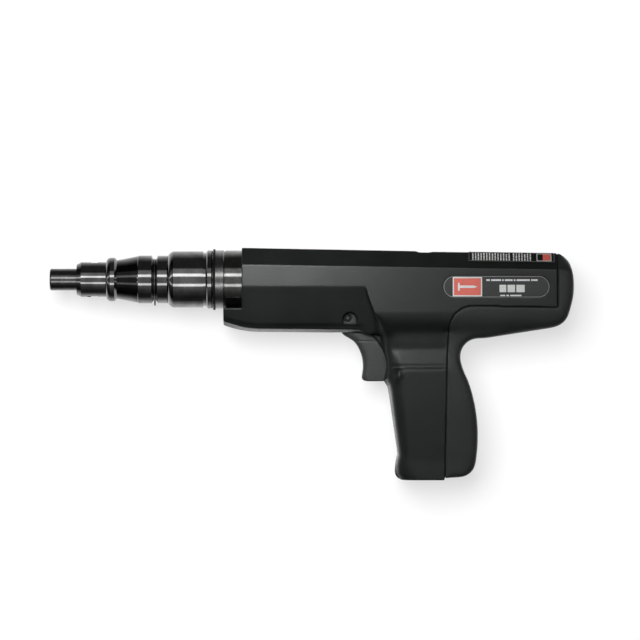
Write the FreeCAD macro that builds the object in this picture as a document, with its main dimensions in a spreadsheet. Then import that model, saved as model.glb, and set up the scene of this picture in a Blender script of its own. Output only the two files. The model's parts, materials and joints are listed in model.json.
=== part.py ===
import FreeCAD, Part
import math
import os
import re
import Sketcher
from FreeCAD import Placement, Rotation, Vector

# Powder-actuated nail gun, as an assembly.
# X runs from the muzzle to the butt, Y is across, Z is up, all in mm.
# The origin is the centre of the muzzle face, on the axis of the bore.

doc = FreeCAD.newDocument("powder_actuated_nail_gun")
sheet = doc.addObject("Spreadsheet::Sheet", "Dims")

DIMENSIONS = [
    # barrel group, from the muzzle back
    ("bore_radius", 4.0, "fastener guide bore"),
    ("nose_radius", 7.15, "fastener guide outside"),
    ("nose_length", 17.7, "guide in front of its sleeve"),
    ("guide_sleeve_radius", 11.5, ""),
    ("guide_sleeve_end", 36.9, ""),
    ("cone_flange_radius", 14.45, ""),
    ("cone_front", 37.0, ""),
    ("cone_drum_radius", 15.85, ""),
    ("clip_groove_middle", 68.85, "V-groove for the wire clip"),
    ("clip_groove_half", 1.95, ""),
    ("clip_groove_radius", 12.2, ""),
    ("cone_end", 77.6, ""),
    ("guide_base_radius", 8.95, "guide inside the barrel spigot"),
    ("guide_end", 100.0, ""),
    ("spigot_radius", 11.0, ""),
    ("spigot_front", 64.0, ""),
    ("barrel_radius", 15.2, ""),
    ("barrel_bore", 10.0, "bore the piston head runs in"),
    ("barrel_end", 224.0, ""),
    ("breech_end_radius", 9.0, "turned-down rear end of the barrel"),
    ("collar_radius", 18.65, ""),
    ("collar_end", 100.7, ""),
    ("collar_ring_radius", 19.3, ""),
    ("collar_ring_end", 106.85, ""),
    # carrier group
    ("bumper_radius", 20.0, ""),
    ("bumper_front", 107.15, ""),
    ("bumper_end", 108.5, ""),
    ("matte_ring_end", 114.3, ""),
    ("sleeve_radius", 19.2, "receiver sleeve outside"),
    ("sleeve_bore", 15.5, ""),
    ("sleeve_step", 140.0, "where the sleeve narrows inside the housing"),
    ("sleeve_back_radius", 17.2, "its narrower rear part"),
    ("sleeve_end", 205.0, ""),
    ("contact_travel", 16.4, "how far the nose is pressed in"),
    ("reload_travel", 70.0, "how far the barrel is pulled out"),
    ("piston_travel", 75.0, ""),
    ("piston_tip", 75.0, "front end of the piston rod at rest"),
    # housing
    ("housing_half", 23.0, "half width of the receiver"),
    ("top_flat_half", 12.0, "half width of the flat top, at the front"),
    ("top_flat_up", 20.7, "its height there"),
    ("housing_bore", 19.5, "bore the receiver sleeve runs in"),
    ("housing_back_bore", 17.5, "its narrower rear part"),
    ("housing_front", 126.0, ""),
    ("shoe_front", 113.9, ""),
    ("shoe_top", -18.6, ""),
    ("breech_front", 236.2, ""),
    ("breech_end", 258.0, ""),
    ("channel_front", 240.9, "load strip channel"),
    ("channel_back", 249.9, ""),
    ("channel_half", 5.5, ""),
    ("seam_back", 331.9, "upright edge of the rear pad"),
    ("grip_bottom", -131.0, ""),
    # trigger
    ("trigger_half", 5.4, ""),
    ("trigger_slot_half", 6.0, ""),
    ("pivot_along", 195.2, "trigger pin"),
    ("pivot_up", -25.1, ""),
    ("pivot_radius", 2.15, ""),
    ("sear_along", 272.0, "sear pin"),
    ("sear_up", -22.0, ""),
    ("sear_pin_radius", 1.6, ""),
    ("same_body_gap", 0.1, "between coaxial pieces of one body"),
    ("running_gap", 0.05, "pin in its hole"),
]

for row, (name, number, meaning) in enumerate(DIMENSIONS, start=1):
    sheet.set(f"A{row}", meaning or name.replace("_", " "))
    sheet.set(f"B{row}", str(number))
    sheet.setAlias(f"B{row}", name)
doc.recompute()

# Directions that several pieces share.
PLANE_ROTATIONS = {
    "XY": Rotation(),
    "XZ": Rotation(Vector(1, 0, 0), 90),
    "YZ": Rotation(Vector(1, 1, 1), 120),
}
TOP_SLOPE = math.radians(0.89)          # the upper lines fall a little to the rear
ROD_ANGLE = -57.0                       # cocking rod, seen along the bore axis
ROD_REACH = 22.05                       # its distance from the bore axis

subparts = []


def bound(expression):
    """Expression with each dimension's name pointing at the sheet."""
    return re.sub(r"[a-z_]*[a-z]", r"Dims.\g<0>", expression)


def number(expression):
    """Value of an expression on the sheet, or the plain number itself."""
    if isinstance(expression, str):
        return float(sheet.evalExpression(bound(expression)))
    return float(expression)


def bind(item, **properties):
    """Set properties, each from an expression on the sheet or a plain number."""
    for name, expression in properties.items():
        setattr(item, name, number(expression))
        if isinstance(expression, str):
            item.setExpression(name, bound(expression))
    return item


def keep(item, label):
    """Take an object as the sub-part called label."""
    item.Label = label
    subparts.append(item)
    return item


def fix_coordinate(sketch, edge, end, axis, expression):
    """Constrain one coordinate of an edge's end to an expression or number."""
    value = number(expression)
    kind = "DistanceX" if axis == 0 else "DistanceY"
    if abs(value) < 1e-9:
        other_axis = -2 if axis == 0 else -1
        sketch.addConstraint(Sketcher.Constraint("PointOnObject", edge, end, other_axis))
        return
    index = sketch.addConstraint(Sketcher.Constraint(kind, -1, 1, edge, end, value))
    if isinstance(expression, str):
        sketch.setExpression(f"Constraints[{index}]", bound(expression))


def draw_outline(sketch, outline):
    """Draw a closed outline in a sketch.

    Each entry is the next corner: (x, y) is reached by a straight line and
    (through_x, through_y, x, y) by an arc through the first point.
    """
    corners = [Vector(number(c[-2]), number(c[-1]), 0) for c in outline]
    edges = []
    for place, entry in enumerate(outline):
        start = corners[place - 1]
        end = corners[place]
        if len(entry) == 4:
            middle = Vector(number(entry[0]), number(entry[1]), 0)
            edges.append(Part.Arc(start, middle, end))
        else:
            edges.append(Part.LineSegment(start, end))
    first = sketch.GeometryCount
    sketch.addGeometry(edges, False)
    ends = []
    for place in range(len(outline)):
        index = first + place
        starts_first = sketch.getPoint(index, 1).isEqual(corners[place - 1], 1e-6)
        ends.append((index, 1, 2) if starts_first else (index, 2, 1))
    for place, entry in enumerate(outline):
        edge, _, edge_end = ends[place]
        after, after_start, _ = ends[(place + 1) % len(ends)]
        sketch.addConstraint(Sketcher.Constraint("Coincident", edge, edge_end, after, after_start))
        fix_coordinate(sketch, edge, edge_end, 0, entry[-2])
        fix_coordinate(sketch, edge, edge_end, 1, entry[-1])
        if len(entry) == 4:
            radius = sketch.Geometry[edge].Radius
            sketch.addConstraint(Sketcher.Constraint("Radius", edge, radius))


def draw_circle(sketch, along, up, radius):
    """Draw a circle whose centre and radius follow the sheet."""
    index = sketch.GeometryCount
    centre = Vector(number(along), number(up), 0)
    sketch.addGeometry(Part.Circle(centre, Vector(0, 0, 1), number(radius)), False)
    fix_coordinate(sketch, index, 3, 0, along)
    fix_coordinate(sketch, index, 3, 1, up)
    place = sketch.addConstraint(Sketcher.Constraint("Radius", index, number(radius)))
    if isinstance(radius, str):
        sketch.setExpression(f"Constraints[{place}]", bound(radius))


def new_body(name):
    return doc.addObject("PartDesign::Body", name)


def body_sketch(body, name, plane):
    """Empty sketch on one of the body's own origin planes."""
    sketch = body.newObject("Sketcher::SketchObject", name)
    features = body.Origin.OriginFeatures
    origin_plane = [f for f in features if f.Role == f"{plane}_Plane"][0]
    sketch.AttachmentSupport = [(origin_plane, "")]
    sketch.MapMode = "FlatFace"
    return sketch


def revolve(body, outline, kind="Revolution"):
    """Turn an outline of (along the bore, radius) corners about the bore axis."""
    sketch = body_sketch(body, f"{body.Name}_{kind.lower()}_sketch", "XY")
    draw_outline(sketch, outline)
    feature = body.newObject(f"PartDesign::{kind}", f"{body.Name}_{kind.lower()}")
    feature.Profile = sketch
    feature.ReferenceAxis = (sketch, ["H_Axis"])
    feature.Angle = 360
    return feature


def turned(label, outline):
    """A turned piece on the bore axis."""
    body = new_body(label)
    revolve(body, outline)
    return keep(body, label)


def ring(label, front, back, inside, outside):
    """A plain ring on the bore axis."""
    corners = [(front, inside), (front, outside), (back, outside), (back, inside)]
    return turned(label, corners)


def pad(body, name, plane, outline, length, holes=()):
    """Pad an outline evenly to both sides of its plane."""
    sketch = body_sketch(body, f"{name}_sketch", plane)
    draw_outline(sketch, outline)
    for along, up, radius in holes:
        draw_circle(sketch, along, up, radius)
    feature = body.newObject("PartDesign::Pad", name)
    feature.Profile = sketch
    feature.SideType = "Symmetric"
    return bind(feature, Length=length)


def pocket_through(body, name, plane, outlines=(), circles=()):
    """Cut outlines and circles right through, to both sides of their plane."""
    sketch = body_sketch(body, f"{name}_sketch", plane)
    for outline in outlines:
        draw_outline(sketch, outline)
    for along, up, radius in circles:
        draw_circle(sketch, along, up, radius)
    feature = body.newObject("PartDesign::Pocket", name)
    feature.Profile = sketch
    feature.SideType = "Symmetric"
    feature.Type = "ThroughAll"
    return feature


def rectangle(left, bottom, right, top):
    return [(left, bottom), (right, bottom), (right, top), (left, top)]


def prism(name, plane, outline, reach, back=0, tilt=0.0, offset=0.0):
    """Solid swept from an outline along its plane's normal, from back to reach.

    tilt turns the sweep downwards, for lines that fall towards the rear, and
    offset moves the outline along the normal first.
    """
    sketch = doc.addObject("Sketcher::SketchObject", f"{name}_sketch")
    normal = PLANE_ROTATIONS[plane].multVec(Vector(0, 0, 1))
    sketch.Placement = Placement(normal * offset, PLANE_ROTATIONS[plane])
    draw_outline(sketch, outline)
    item = doc.addObject("Part::Extrusion", name)
    item.Base = sketch
    item.DirMode = "Custom"
    item.Dir = Vector(normal.x, normal.y, normal.z - math.tan(tilt))
    item.Solid = True
    return bind(item, LengthFwd=reach, LengthRev=back)


def box(name, low, high):
    """Box between two corners; each coordinate may follow the sheet."""
    item = doc.addObject("Part::Box", name)
    for prop, a, b in zip(("Length", "Width", "Height"), low, high):
        if isinstance(a, str) or isinstance(b, str):
            bind(item, **{prop: f"({b}) - ({a})"})
        else:
            bind(item, **{prop: b - a})
    item.Placement = Placement(Vector(*[number(c) for c in low]), Rotation())
    for axis, c in zip("xyz", low):
        if isinstance(c, str):
            item.setExpression(f".Placement.Base.{axis}", bound(c))
    return item


def rod_along(name, axis, start, length, radius):
    """Cylinder from a start point along X, Y or Z."""
    turns = {
        "X": Rotation(Vector(0, 1, 0), 90),
        "Y": Rotation(Vector(1, 0, 0), -90),
        "Z": Rotation(),
    }
    item = doc.addObject("Part::Cylinder", name)
    bind(item, Radius=radius, Height=length)
    item.Placement = Placement(Vector(*[number(c) for c in start]), turns[axis])
    for letter, c in zip("xyz", start):
        if isinstance(c, str):
            item.setExpression(f".Placement.Base.{letter}", bound(c))
    return item


def radial_box(name, front, back, inner, outer, half):
    """Box beside the bore axis, along the cocking rod's radial line."""
    item = doc.addObject("Part::Box", name)
    bind(item, Length=back - front, Width=outer - inner, Height=2 * half)
    turn = Rotation(Vector(1, 0, 0), ROD_ANGLE)
    item.Placement = Placement(turn.multVec(Vector(front, inner, -half)), turn)
    return item


def fuse(name, items):
    item = doc.addObject("Part::MultiFuse", name)
    item.Shapes = items
    return item


def common(name, first, second):
    item = doc.addObject("Part::MultiCommon", name)
    item.Shapes = [first, second]
    return item


def cut(name, base, tool):
    item = doc.addObject("Part::Cut", name)
    item.Base = base
    item.Tool = tool
    return item


def coil_spring(label, start, direction, length, mean_radius, wire, pitch):
    """Round-wire compression spring from a start point along a direction."""
    body = new_body(label)
    sketch = body_sketch(body, f"{label}_wire", "XY")
    draw_circle(sketch, wire, mean_radius, wire)
    helix = body.newObject("PartDesign::AdditiveHelix", f"{label}_coil")
    helix.Profile = sketch
    helix.ReferenceAxis = (sketch, ["H_Axis"])
    helix.Mode = 0
    helix.Pitch = pitch
    helix.Height = length - 2 * wire
    body.Placement = Placement(Vector(*start), Rotation(Vector(1, 0, 0), Vector(*direction)))
    return keep(body, label)


# --- Barrel group: everything that is pulled forward to reload -----------------------------

turned("fastener_guide", [
    (0, "bore_radius"),
    (0, "nose_radius - 1.2"),
    (0.35, "nose_radius - 0.35", 1.2, "nose_radius"),
    ("spigot_front", "nose_radius"),
    ("spigot_front", "guide_base_radius"),
    ("guide_end", "guide_base_radius"),
    ("guide_end", "bore_radius + 1.5"),
    ("guide_end - 3", "bore_radius"),
    (73, "bore_radius"),
    (73, "bore_radius + 0.6"),
    (71, "bore_radius + 0.6"),
    (71, "bore_radius"),
])


def make_guide_sleeve():
    inside = "nose_radius + same_body_gap"
    body = new_body("guide_sleeve")
    revolve(body, [
        ("nose_length", inside),
        ("nose_length", "guide_sleeve_radius - 1.5"),
        ("nose_length + 3", "guide_sleeve_radius"),
        ("guide_sleeve_end", "guide_sleeve_radius"),
        ("guide_sleeve_end", inside),
    ])
    # The cross hole leans out of the middle plane, so its lower end shows on the left.
    hole_lean = Rotation(Vector(1, 0, 0), -13)
    cross_hole = pocket_through(body, "sleeve_cross_hole", "XY", circles=[(25.9, 0, 1.3)])
    cross_hole.Profile[0].AttachmentOffset = Placement(Vector(), hole_lean)
    flats = [rectangle(27.0, "guide_sleeve_radius - 0.5", 31.5, 13),
             rectangle(27.0, -13, 31.5, "0.5 - guide_sleeve_radius")]
    pocket_through(body, "sleeve_flats", "XZ", flats)
    return keep(body, "guide_sleeve")


make_guide_sleeve()

turned("muzzle_cone", [
    ("cone_front", "nose_radius + same_body_gap"),
    ("cone_front", "cone_flange_radius - 2.2"),
    ("cone_front + 1", "cone_flange_radius - 0.7", "cone_front + 3", "cone_flange_radius"),
    ("cone_front + 5.6", "cone_flange_radius"),
    ("cone_front + 7.2", "cone_flange_radius - 1.65"),
    (57.7, 15.45),
    (58.3, "cone_drum_radius"),
    ("clip_groove_middle - clip_groove_half", "cone_drum_radius"),
    ("clip_groove_middle", "clip_groove_radius"),
    ("clip_groove_middle + clip_groove_half", "cone_drum_radius - 0.1"),
    ("cone_end - 0.5", "cone_drum_radius - 0.1"),
    ("cone_end", "cone_drum_radius - 0.6"),
    ("cone_end", "spigot_radius + same_body_gap"),
    ("spigot_front - 0.2", "spigot_radius + same_body_gap"),
    ("spigot_front - 0.2", "nose_radius + same_body_gap"),
])


def make_retaining_clip():
    """Open wire ring in the V-groove, with its two ends bent outwards below."""
    wire = 0.5
    ring_radius = 13.35
    gap_half = 9.0
    end_length = 4.0
    end_root = 0.2                      # how far each end runs into the loop's wire
    hang = ring_radius * math.cos(math.radians(gap_half)) + end_length - end_root
    loop = doc.addObject("Part::Torus", "clip_loop")
    loop.Radius1 = ring_radius
    loop.Radius2 = wire
    loop.Angle3 = 360 - 2 * gap_half
    # The torus opens about its own X axis, which is turned to point down.
    flat_to_bore = Rotation(Vector(0, 1, 0), 90)
    open_downwards = Rotation(Vector(0, 0, 1), gap_half)
    loop.Placement = Placement(Vector(number("clip_groove_middle"), 0, 0),
                               flat_to_bore.multiply(open_downwards))
    pieces = [loop]
    for side in (-1, 1):
        across = side * ring_radius * math.sin(math.radians(gap_half))
        pieces.append(rod_along(f"clip_end_{'right' if side > 0 else 'left'}", "Z",
                                ("clip_groove_middle", across, -hang), end_length, wire))
    return keep(fuse("retaining_clip", pieces), "retaining_clip")


make_retaining_clip()


def make_barrel_tube():
    body = new_body("barrel_tube")
    revolve(body, [
        ("spigot_front", "guide_base_radius + same_body_gap"),
        ("spigot_front", "spigot_radius"),
        ("cone_end + 0.1", "spigot_radius"),
        ("cone_end + 0.1", "barrel_radius"),
        ("barrel_end - 9", "barrel_radius"),
        ("barrel_end - 9", "breech_end_radius"),
        ("barrel_end - 0.8", "breech_end_radius"),
        ("barrel_end", "breech_end_radius - 0.8"),
        ("barrel_end", 4.6),
        ("barrel_end - 12", 4.6),
        ("barrel_end - 12", 2.5),
        ("barrel_end - 16", 2.5),
        ("barrel_end - 16", "barrel_bore"),
        ("guide_end + 0.2", "barrel_bore"),
        ("guide_end + 0.2", "guide_base_radius + same_body_gap"),
    ])
    # Slot below, in which the stop pin limits the reload stroke.
    sketch = body_sketch(body, "stop_slot_sketch", "XZ")
    draw_outline(sketch, rectangle(127.7, "-barrel_radius - 1", "132.3 + reload_travel",
                                   "2.6 - barrel_radius"))
    slot = body.newObject("PartDesign::Pocket", "stop_slot")
    slot.Profile = sketch
    slot.SideType = "Symmetric"
    slot.Length = 4.6
    return keep(body, "barrel_tube")


make_barrel_tube()

turned("barrel_collar", [
    ("cone_end + 0.1", "barrel_radius + same_body_gap"),
    ("cone_end + 0.1", "collar_radius - 2.4"),
    ("cone_end + 1.1", "collar_radius - 1.2", "cone_end + 3.6", "collar_radius"),
    ("collar_end", "collar_radius"),
    ("collar_end", "collar_radius - 0.9"),
    ("collar_end + 1.7", "collar_radius - 0.9"),
    ("collar_end + 1.7", "barrel_radius + same_body_gap"),
])

turned("collar_ring", [
    ("collar_end + 1.8", "barrel_radius + same_body_gap"),
    ("collar_end + 1.8", "collar_ring_radius - 1.1"),
    ("collar_end + 2.9", "collar_ring_radius"),
    ("collar_ring_end - 0.7", "collar_ring_radius"),
    ("collar_ring_end", "collar_ring_radius - 0.6"),
    ("collar_ring_end", "barrel_radius + same_body_gap"),
])

ring("absorber_ring", "guide_end + 0.4", "guide_end + 12",
     "bore_radius + 0.7", "barrel_bore - same_body_gap")
ring("stop_ring", "guide_end + 12.1", "guide_end + 18.2",
     "bore_radius + 0.5", "barrel_bore - same_body_gap")


# --- Piston ---------------------------------------------------------------------------------

PISTON_RINGS = (2.5, 7.5)               # from the head's front face
PISTON_RING_WIDTH = 2.0
HEAD_FRONT = "guide_end + 18.5 + piston_travel"
HEAD_RADIUS = "barrel_bore - 0.3"
ROD_RADIUS = "bore_radius - 0.07"


def make_piston():
    corners = [("piston_tip", 0), ("piston_tip", "bore_radius - 0.5"),
               ("piston_tip + 0.5", ROD_RADIUS), (HEAD_FRONT, ROD_RADIUS),
               (HEAD_FRONT, HEAD_RADIUS)]
    for start in PISTON_RINGS:
        corners += [
            (f"{HEAD_FRONT} + {start - 0.1}", HEAD_RADIUS),
            (f"{HEAD_FRONT} + {start - 0.1}", "barrel_bore - 1.9"),
            (f"{HEAD_FRONT} + {start + PISTON_RING_WIDTH + 0.1}", "barrel_bore - 1.9"),
            (f"{HEAD_FRONT} + {start + PISTON_RING_WIDTH + 0.1}", HEAD_RADIUS),
        ]
    corners += [(f"{HEAD_FRONT} + 12.4", HEAD_RADIUS), (f"{HEAD_FRONT} + 12.4", 0)]
    turned("piston", corners)
    rings = []
    for count, start in enumerate(PISTON_RINGS, start=1):
        outside = rod_along(f"ring_outside_{count}", "X", (f"{HEAD_FRONT} + {start}", 0, 0),
                            PISTON_RING_WIDTH, "barrel_bore - running_gap")
        inside = rod_along(f"ring_inside_{count}", "X", (f"{HEAD_FRONT} + {start}", 0, 0),
                           PISTON_RING_WIDTH, "barrel_bore - 1.8")
        rings.append(cut(f"piston_ring_{count}", outside, inside))
    keep(fuse("piston_rings", rings), "piston_rings")


make_piston()


# --- Carrier group: what the nose pushes back into the housing -------------------------------

ring("bumper_ring", "bumper_front", "bumper_end", "sleeve_bore + 0.1", "bumper_radius")

turned("matte_ring", [
    ("bumper_end", "sleeve_bore + 0.1"),
    ("bumper_end", "sleeve_radius"),
    ("bumper_end + 0.3", "sleeve_radius + 0.05"),
    ("matte_ring_end - 0.4", "sleeve_radius + 0.05"),
    ("matte_ring_end", "sleeve_radius - 0.3"),
    ("matte_ring_end", "sleeve_bore + 0.1"),
])

STOP_PIN_ALONG = 130.0
STOP_PIN_RADIUS = 2.0


def make_receiver_sleeve():
    body = new_body("receiver_sleeve")
    revolve(body, [
        ("matte_ring_end + 0.1", "sleeve_bore"),
        ("matte_ring_end + 0.1", "sleeve_radius - 0.6"),
        ("matte_ring_end + 0.6", "sleeve_radius - 0.6"),
        ("matte_ring_end + 0.9", "sleeve_radius"),
        ("sleeve_step", "sleeve_radius"),
        ("sleeve_step", "sleeve_back_radius"),
        ("sleeve_end", "sleeve_back_radius"),
        ("sleeve_end", "sleeve_bore"),
    ])
    sketch = body_sketch(body, "stop_pin_hole_sketch", "XY")
    draw_circle(sketch, STOP_PIN_ALONG, 0, STOP_PIN_RADIUS + 0.05)
    hole = body.newObject("PartDesign::Pocket", "stop_pin_hole")
    hole.Profile = sketch
    hole.Type = "Length"
    bind(hole, Length="sleeve_radius + 5")
    return keep(body, "receiver_sleeve")


make_receiver_sleeve()

keep(rod_along("stop_pin", "Z", (STOP_PIN_ALONG, 0, "0.3 - sleeve_radius"), 5.9,
               STOP_PIN_RADIUS), "stop_pin")

ROD_FRONT = 192.0
ROD_BACK = 262.2
rod_centre = Rotation(Vector(1, 0, 0), ROD_ANGLE).multVec(Vector(0, ROD_REACH, 0))


def make_cocking_rod():
    """Rod beside the sleeve that carries the nose's travel to the striker."""
    rod = rod_along("cocking_rod_shank", "X", (ROD_FRONT, rod_centre.y, rod_centre.z),
                    ROD_BACK - ROD_FRONT, 2.2)
    lug_start = number("sleeve_back_radius + same_body_gap")
    lug = radial_box("cocking_rod_lug", 196, 204, lug_start, ROD_REACH, 2)
    return keep(fuse("cocking_rod", [rod, lug]), "cocking_rod")


make_cocking_rod()

coil_spring("contact_spring", (number("sleeve_end") + 0.3, 0, 0), (1, 0, 0), 30.5, 16.45, 0.6, 4.6)


# --- Striker group ----------------------------------------------------------------------------

STRIKER_RADIUS = 9.0
STRIKER_FRONT = 262.0
STRIKER_BACK = 284.0


def make_striker():
    drum = new_body("striker_drum")
    revolve(drum, [
        (258.6, 1.55), (258.6, 4.2), (STRIKER_FRONT, 4.2), (STRIKER_FRONT, STRIKER_RADIUS - 1),
        (STRIKER_FRONT + 1, STRIKER_RADIUS), (273, STRIKER_RADIUS), (274, STRIKER_RADIUS - 2),
        (278, STRIKER_RADIUS - 2), (278, STRIKER_RADIUS), (STRIKER_BACK, STRIKER_RADIUS),
        (STRIKER_BACK, 5.7), (270, 5.7), (270, 1.55),
    ])
    arm = radial_box("striker_arm", 262.6, 267.4, 8.0, 24.0, 2)
    return keep(fuse("striker", [drum, arm]), "striker")


make_striker()
turned("firing_pin", [
    (250.2, 0), (250.2, 0.8), (250.9, 1.5), (270.1, 1.5), (270.1, 3.2), (271.4, 3.2), (271.4, 0),
])
coil_spring("mainspring", (271.6, 0, 0), (1, 0, 0), 50.2, 4.55, 0.75, 4.2)
turned("spring_plug", [
    (302, 0), (302, 2.6), (303, 3.5), (322, 3.5), (322, 10.2), (330, 10.2), (330, 0),
])


# --- Breech and load strip guide ---------------------------------------------------------------

BREECH_HALF_WIDTH = 16.0
BREECH_HALF_HEIGHT = 13.0
GUIDE_WALL = 2.0
GUIDE_HALF = 7.0


def make_breech_block():
    body = new_body("breech_block")
    pad(body, "breech_solid", "XZ",
        rectangle("breech_front", -BREECH_HALF_HEIGHT, "breech_end", BREECH_HALF_HEIGHT),
        2 * BREECH_HALF_WIDTH)
    revolve(body, [
        ("breech_front - 1", 0), ("breech_front - 1", "breech_end_radius + 0.4"),
        ("channel_front", "breech_end_radius + 0.4"), ("channel_front", 1.9),
        ("breech_end + 1", 1.9), ("breech_end + 1", 0),
    ], "Groove")
    channel = rectangle("channel_front", "-channel_half", "channel_back", "channel_half")
    pocket_through(body, "breech_channel", "XY", [channel])
    return keep(body, "breech_block")


make_breech_block()


def make_strip_guide():
    """Square tube up through the grip, with a slot behind for the feed pawl's tooth."""
    top = -BREECH_HALF_HEIGHT - 0.2
    body = new_body("strip_guide")
    pad(body, "strip_guide_solid", "XZ",
        rectangle(f"channel_front - {GUIDE_WALL}", "grip_bottom + 0.2",
                  f"channel_back + {GUIDE_WALL}", top), 2 * GUIDE_HALF)
    channel = rectangle("channel_front", "-channel_half", "channel_back", "channel_half")
    pocket_through(body, "strip_guide_channel", "XY", [channel])
    sketch = body_sketch(body, "pawl_slot_sketch", "XZ")
    draw_outline(sketch, rectangle("channel_back - 1", -57.0, f"channel_back + {GUIDE_WALL + 1}",
                                   -41.0))
    slot = body.newObject("PartDesign::Pocket", "pawl_slot")
    slot.Profile = sketch
    slot.SideType = "Symmetric"
    slot.Length = 3.2
    return keep(body, "strip_guide")


make_strip_guide()


def make_feed_pawl():
    bar = box("feed_pawl_bar", (252.2, -4, -78), (256.2, 4, -48))
    tooth = box("feed_pawl_tooth", (250.3, -1.2, -56), (252.3, 1.2, -52))
    return keep(fuse("feed_pawl", [bar, tooth]), "feed_pawl")


make_feed_pawl()
coil_spring("feed_spring", (254.2, 0, -96), (0, 0, 1), 17.7, 1.5, 0.4, 1.8)


# --- Trigger and sear --------------------------------------------------------------------------

CAM_ALONG = 198.2
CAM_UP = -30.4
CAM_RADIUS = 1.8
LINK_GAP = 0.35
BOSS_ALONG = 267.6
BOSS_UP = -30.2


def make_trigger():
    body = new_body("trigger")
    pad(body, "trigger_blade", "XZ", [
        (195.2, -20.2, 190.5, -23.5),
        (190.3, -34.6),
        (191.3, -35.9),
        (199.3, -40.3),
        (204.6, -51.0, 204.4, -63.0),
        (204.0, -65.8, 206.6, -66.7),
        (219.0, -66.6),
        (220.9, -51.6, 215.2, -40.3),
        (208.0, -33.5),
        (199.9, -23.5),
    ], "2 * trigger_half",
        holes=[("pivot_along", "pivot_up", "pivot_radius + running_gap"),
               (CAM_ALONG, CAM_UP, CAM_RADIUS + 0.05)])
    return keep(body, "trigger")


make_trigger()

PIN_HALF = 14.2


def make_trigger_pin():
    """Pivot pin with a small dimple in each end."""
    pin = rod_along("trigger_pin_shank", "Y", ("pivot_along", -PIN_HALF, "pivot_up"),
                    2 * PIN_HALF, "pivot_radius")
    dimples = []
    for side in (-1, 1):
        start = -PIN_HALF if side < 0 else PIN_HALF - 0.5
        name = f"pin_dimple_{'right' if side > 0 else 'left'}"
        dimples.append(rod_along(name, "Y", ("pivot_along", start, "pivot_up"), 0.5, 0.9))
    return keep(cut("trigger_pin", pin, fuse("pin_dimples", dimples)), "trigger_pin")


make_trigger_pin()
coil_spring("trigger_spring", (195.2, 6.2, -25.1), (0, 1, 0), 3.0, 3.1, 0.4, 1.0)
keep(rod_along("trigger_cam_pin", "Y", (CAM_ALONG, 0.5, CAM_UP), 10.8, CAM_RADIUS),
     "trigger_cam_pin")
keep(box("trigger_bar", (CAM_ALONG + CAM_RADIUS + LINK_GAP, 9.0, -31.7),
         (BOSS_ALONG - CAM_RADIUS - LINK_GAP, 10.8, -28.9)), "trigger_bar")


def make_sear():
    body = new_body("sear_lever")
    pad(body, "sear_blade", "XZ", [
        (263.0, -9.6),
        (266.0, -9.6),
        (275.2, -19.0),
        (275.2, -25.0),
        (270.3, -26.4),
        (270.3, -31.2),
        (267.6, -32.6, 265.6, -30.2),
        (268.2, -22.0),
        (263.0, -13.0),
    ], 6.0, holes=[("sear_along", "sear_up", "sear_pin_radius + running_gap")])
    boss = rod_along("sear_boss", "Y", (BOSS_ALONG, 2.8, BOSS_UP), 8.0, CAM_RADIUS)
    return keep(fuse("sear", [body, boss]), "sear")


make_sear()
keep(rod_along("sear_pin", "Y", ("sear_along", -9, "sear_up"), 17.5, "sear_pin_radius"),
     "sear_pin")
coil_spring("sear_spring", (270.8, 0, -29.4), (1, 0, 0), 8.7, 1.7, 0.4, 1.7)


# --- Housing: outer form shared by the two shells and the rear pad -----------------------------

FORM_SIDE = [
    ("shoe_front", "shoe_top"),
    ("housing_front", "shoe_top"),
    ("housing_front", "top_flat_up"),
    (239.6, 18.6),
    (241.8, 17.75),
    (248.2, 17.65),
    (250.4, 18.1),
    (329.8, 17.25),
    (337.0, 14.9, 340.9, 9.3),
    (342.9, -5.0, 340.1, -20.0),
    (337.2, -27.0, 330.0, -31.4),
    (283.4, -38.7),
    (271.7, -42.4, 268.7, -51.4),
    (270.2, -57.4, 273.6, -65.0),
    (280.0, -94.0, 279.1, -118.0),
    (276.0, -126.0, 267.0, -129.4),
    (258.4, -129.6),
    (258.4, "grip_bottom"),
    (231.6, "grip_bottom"),
    (227.6, -129.4, 226.2, -125.0),
    (226.6, -120.0, 228.0, -114.0),
    (222.4, -76.0),
    (221.3, -70.0),
    (218.8, -66.5),
    (220.5, -54.0, 215.4, -42.2),
    (211.3, -37.3, 205.0, -34.9),
    (140.0, -34.3),
    (126.0, -33.2, "shoe_front", -29.8),
]

# Outside of the side profile below the receiver: it rolls under, is waisted at the
# web of the hand and steps out again to the lower grip.
FORM_ROLL = [
    (26, -17.0),
    (23.0, -19.0),
    (21.6, -27.6, 17.4, -34.0),
    (16.6, -45.0, 18.0, -56.6),
    (18.7, -58.8),
    (18.3, -118.0),
    (19.4, -134.0),
    (26, -134.0),
]


def opposite(coordinate):
    """Negative of a number or of an expression on the sheet."""
    return f"-({coordinate})" if isinstance(coordinate, str) else -coordinate


def mirrored(outline):
    """Outline on the other side of the vertical axis, in the opposite order."""
    flipped = []
    for place, entry in enumerate(outline):
        before = outline[(place + 1) % len(outline)]
        corner = (opposite(entry[-2]), entry[-1])
        if len(before) == 4:
            flipped.append((opposite(before[0]), before[1]) + corner)
        else:
            flipped.append(corner)
    return flipped[::-1]


# Plan of what is rounded off the grip's front corners, and the way its front leans.
GRIP_CORNER = [
    (217.4, 8.0),
    (221.4, 8.0),
    (224.1, 15.7, 231.4, 18.7),
    (231.4, 24.0),
    (217.4, 24.0),
]
GRIP_CORNER_TOP = -66.0
GRIP_CORNER_REACH = 72.0
FRONT_LEAN = math.radians(7.2)

# Plan of what is rounded off the neck's front corners, beside the trigger.
NECK_CORNER = [
    (210.0, 7.4),
    (217.6, 7.4),
    (220.4, 13.6, 227.6, 16.9),
    (227.6, 24.0),
    (210.0, 24.0),
]
NECK_CORNER_TOP = -35.6


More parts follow.
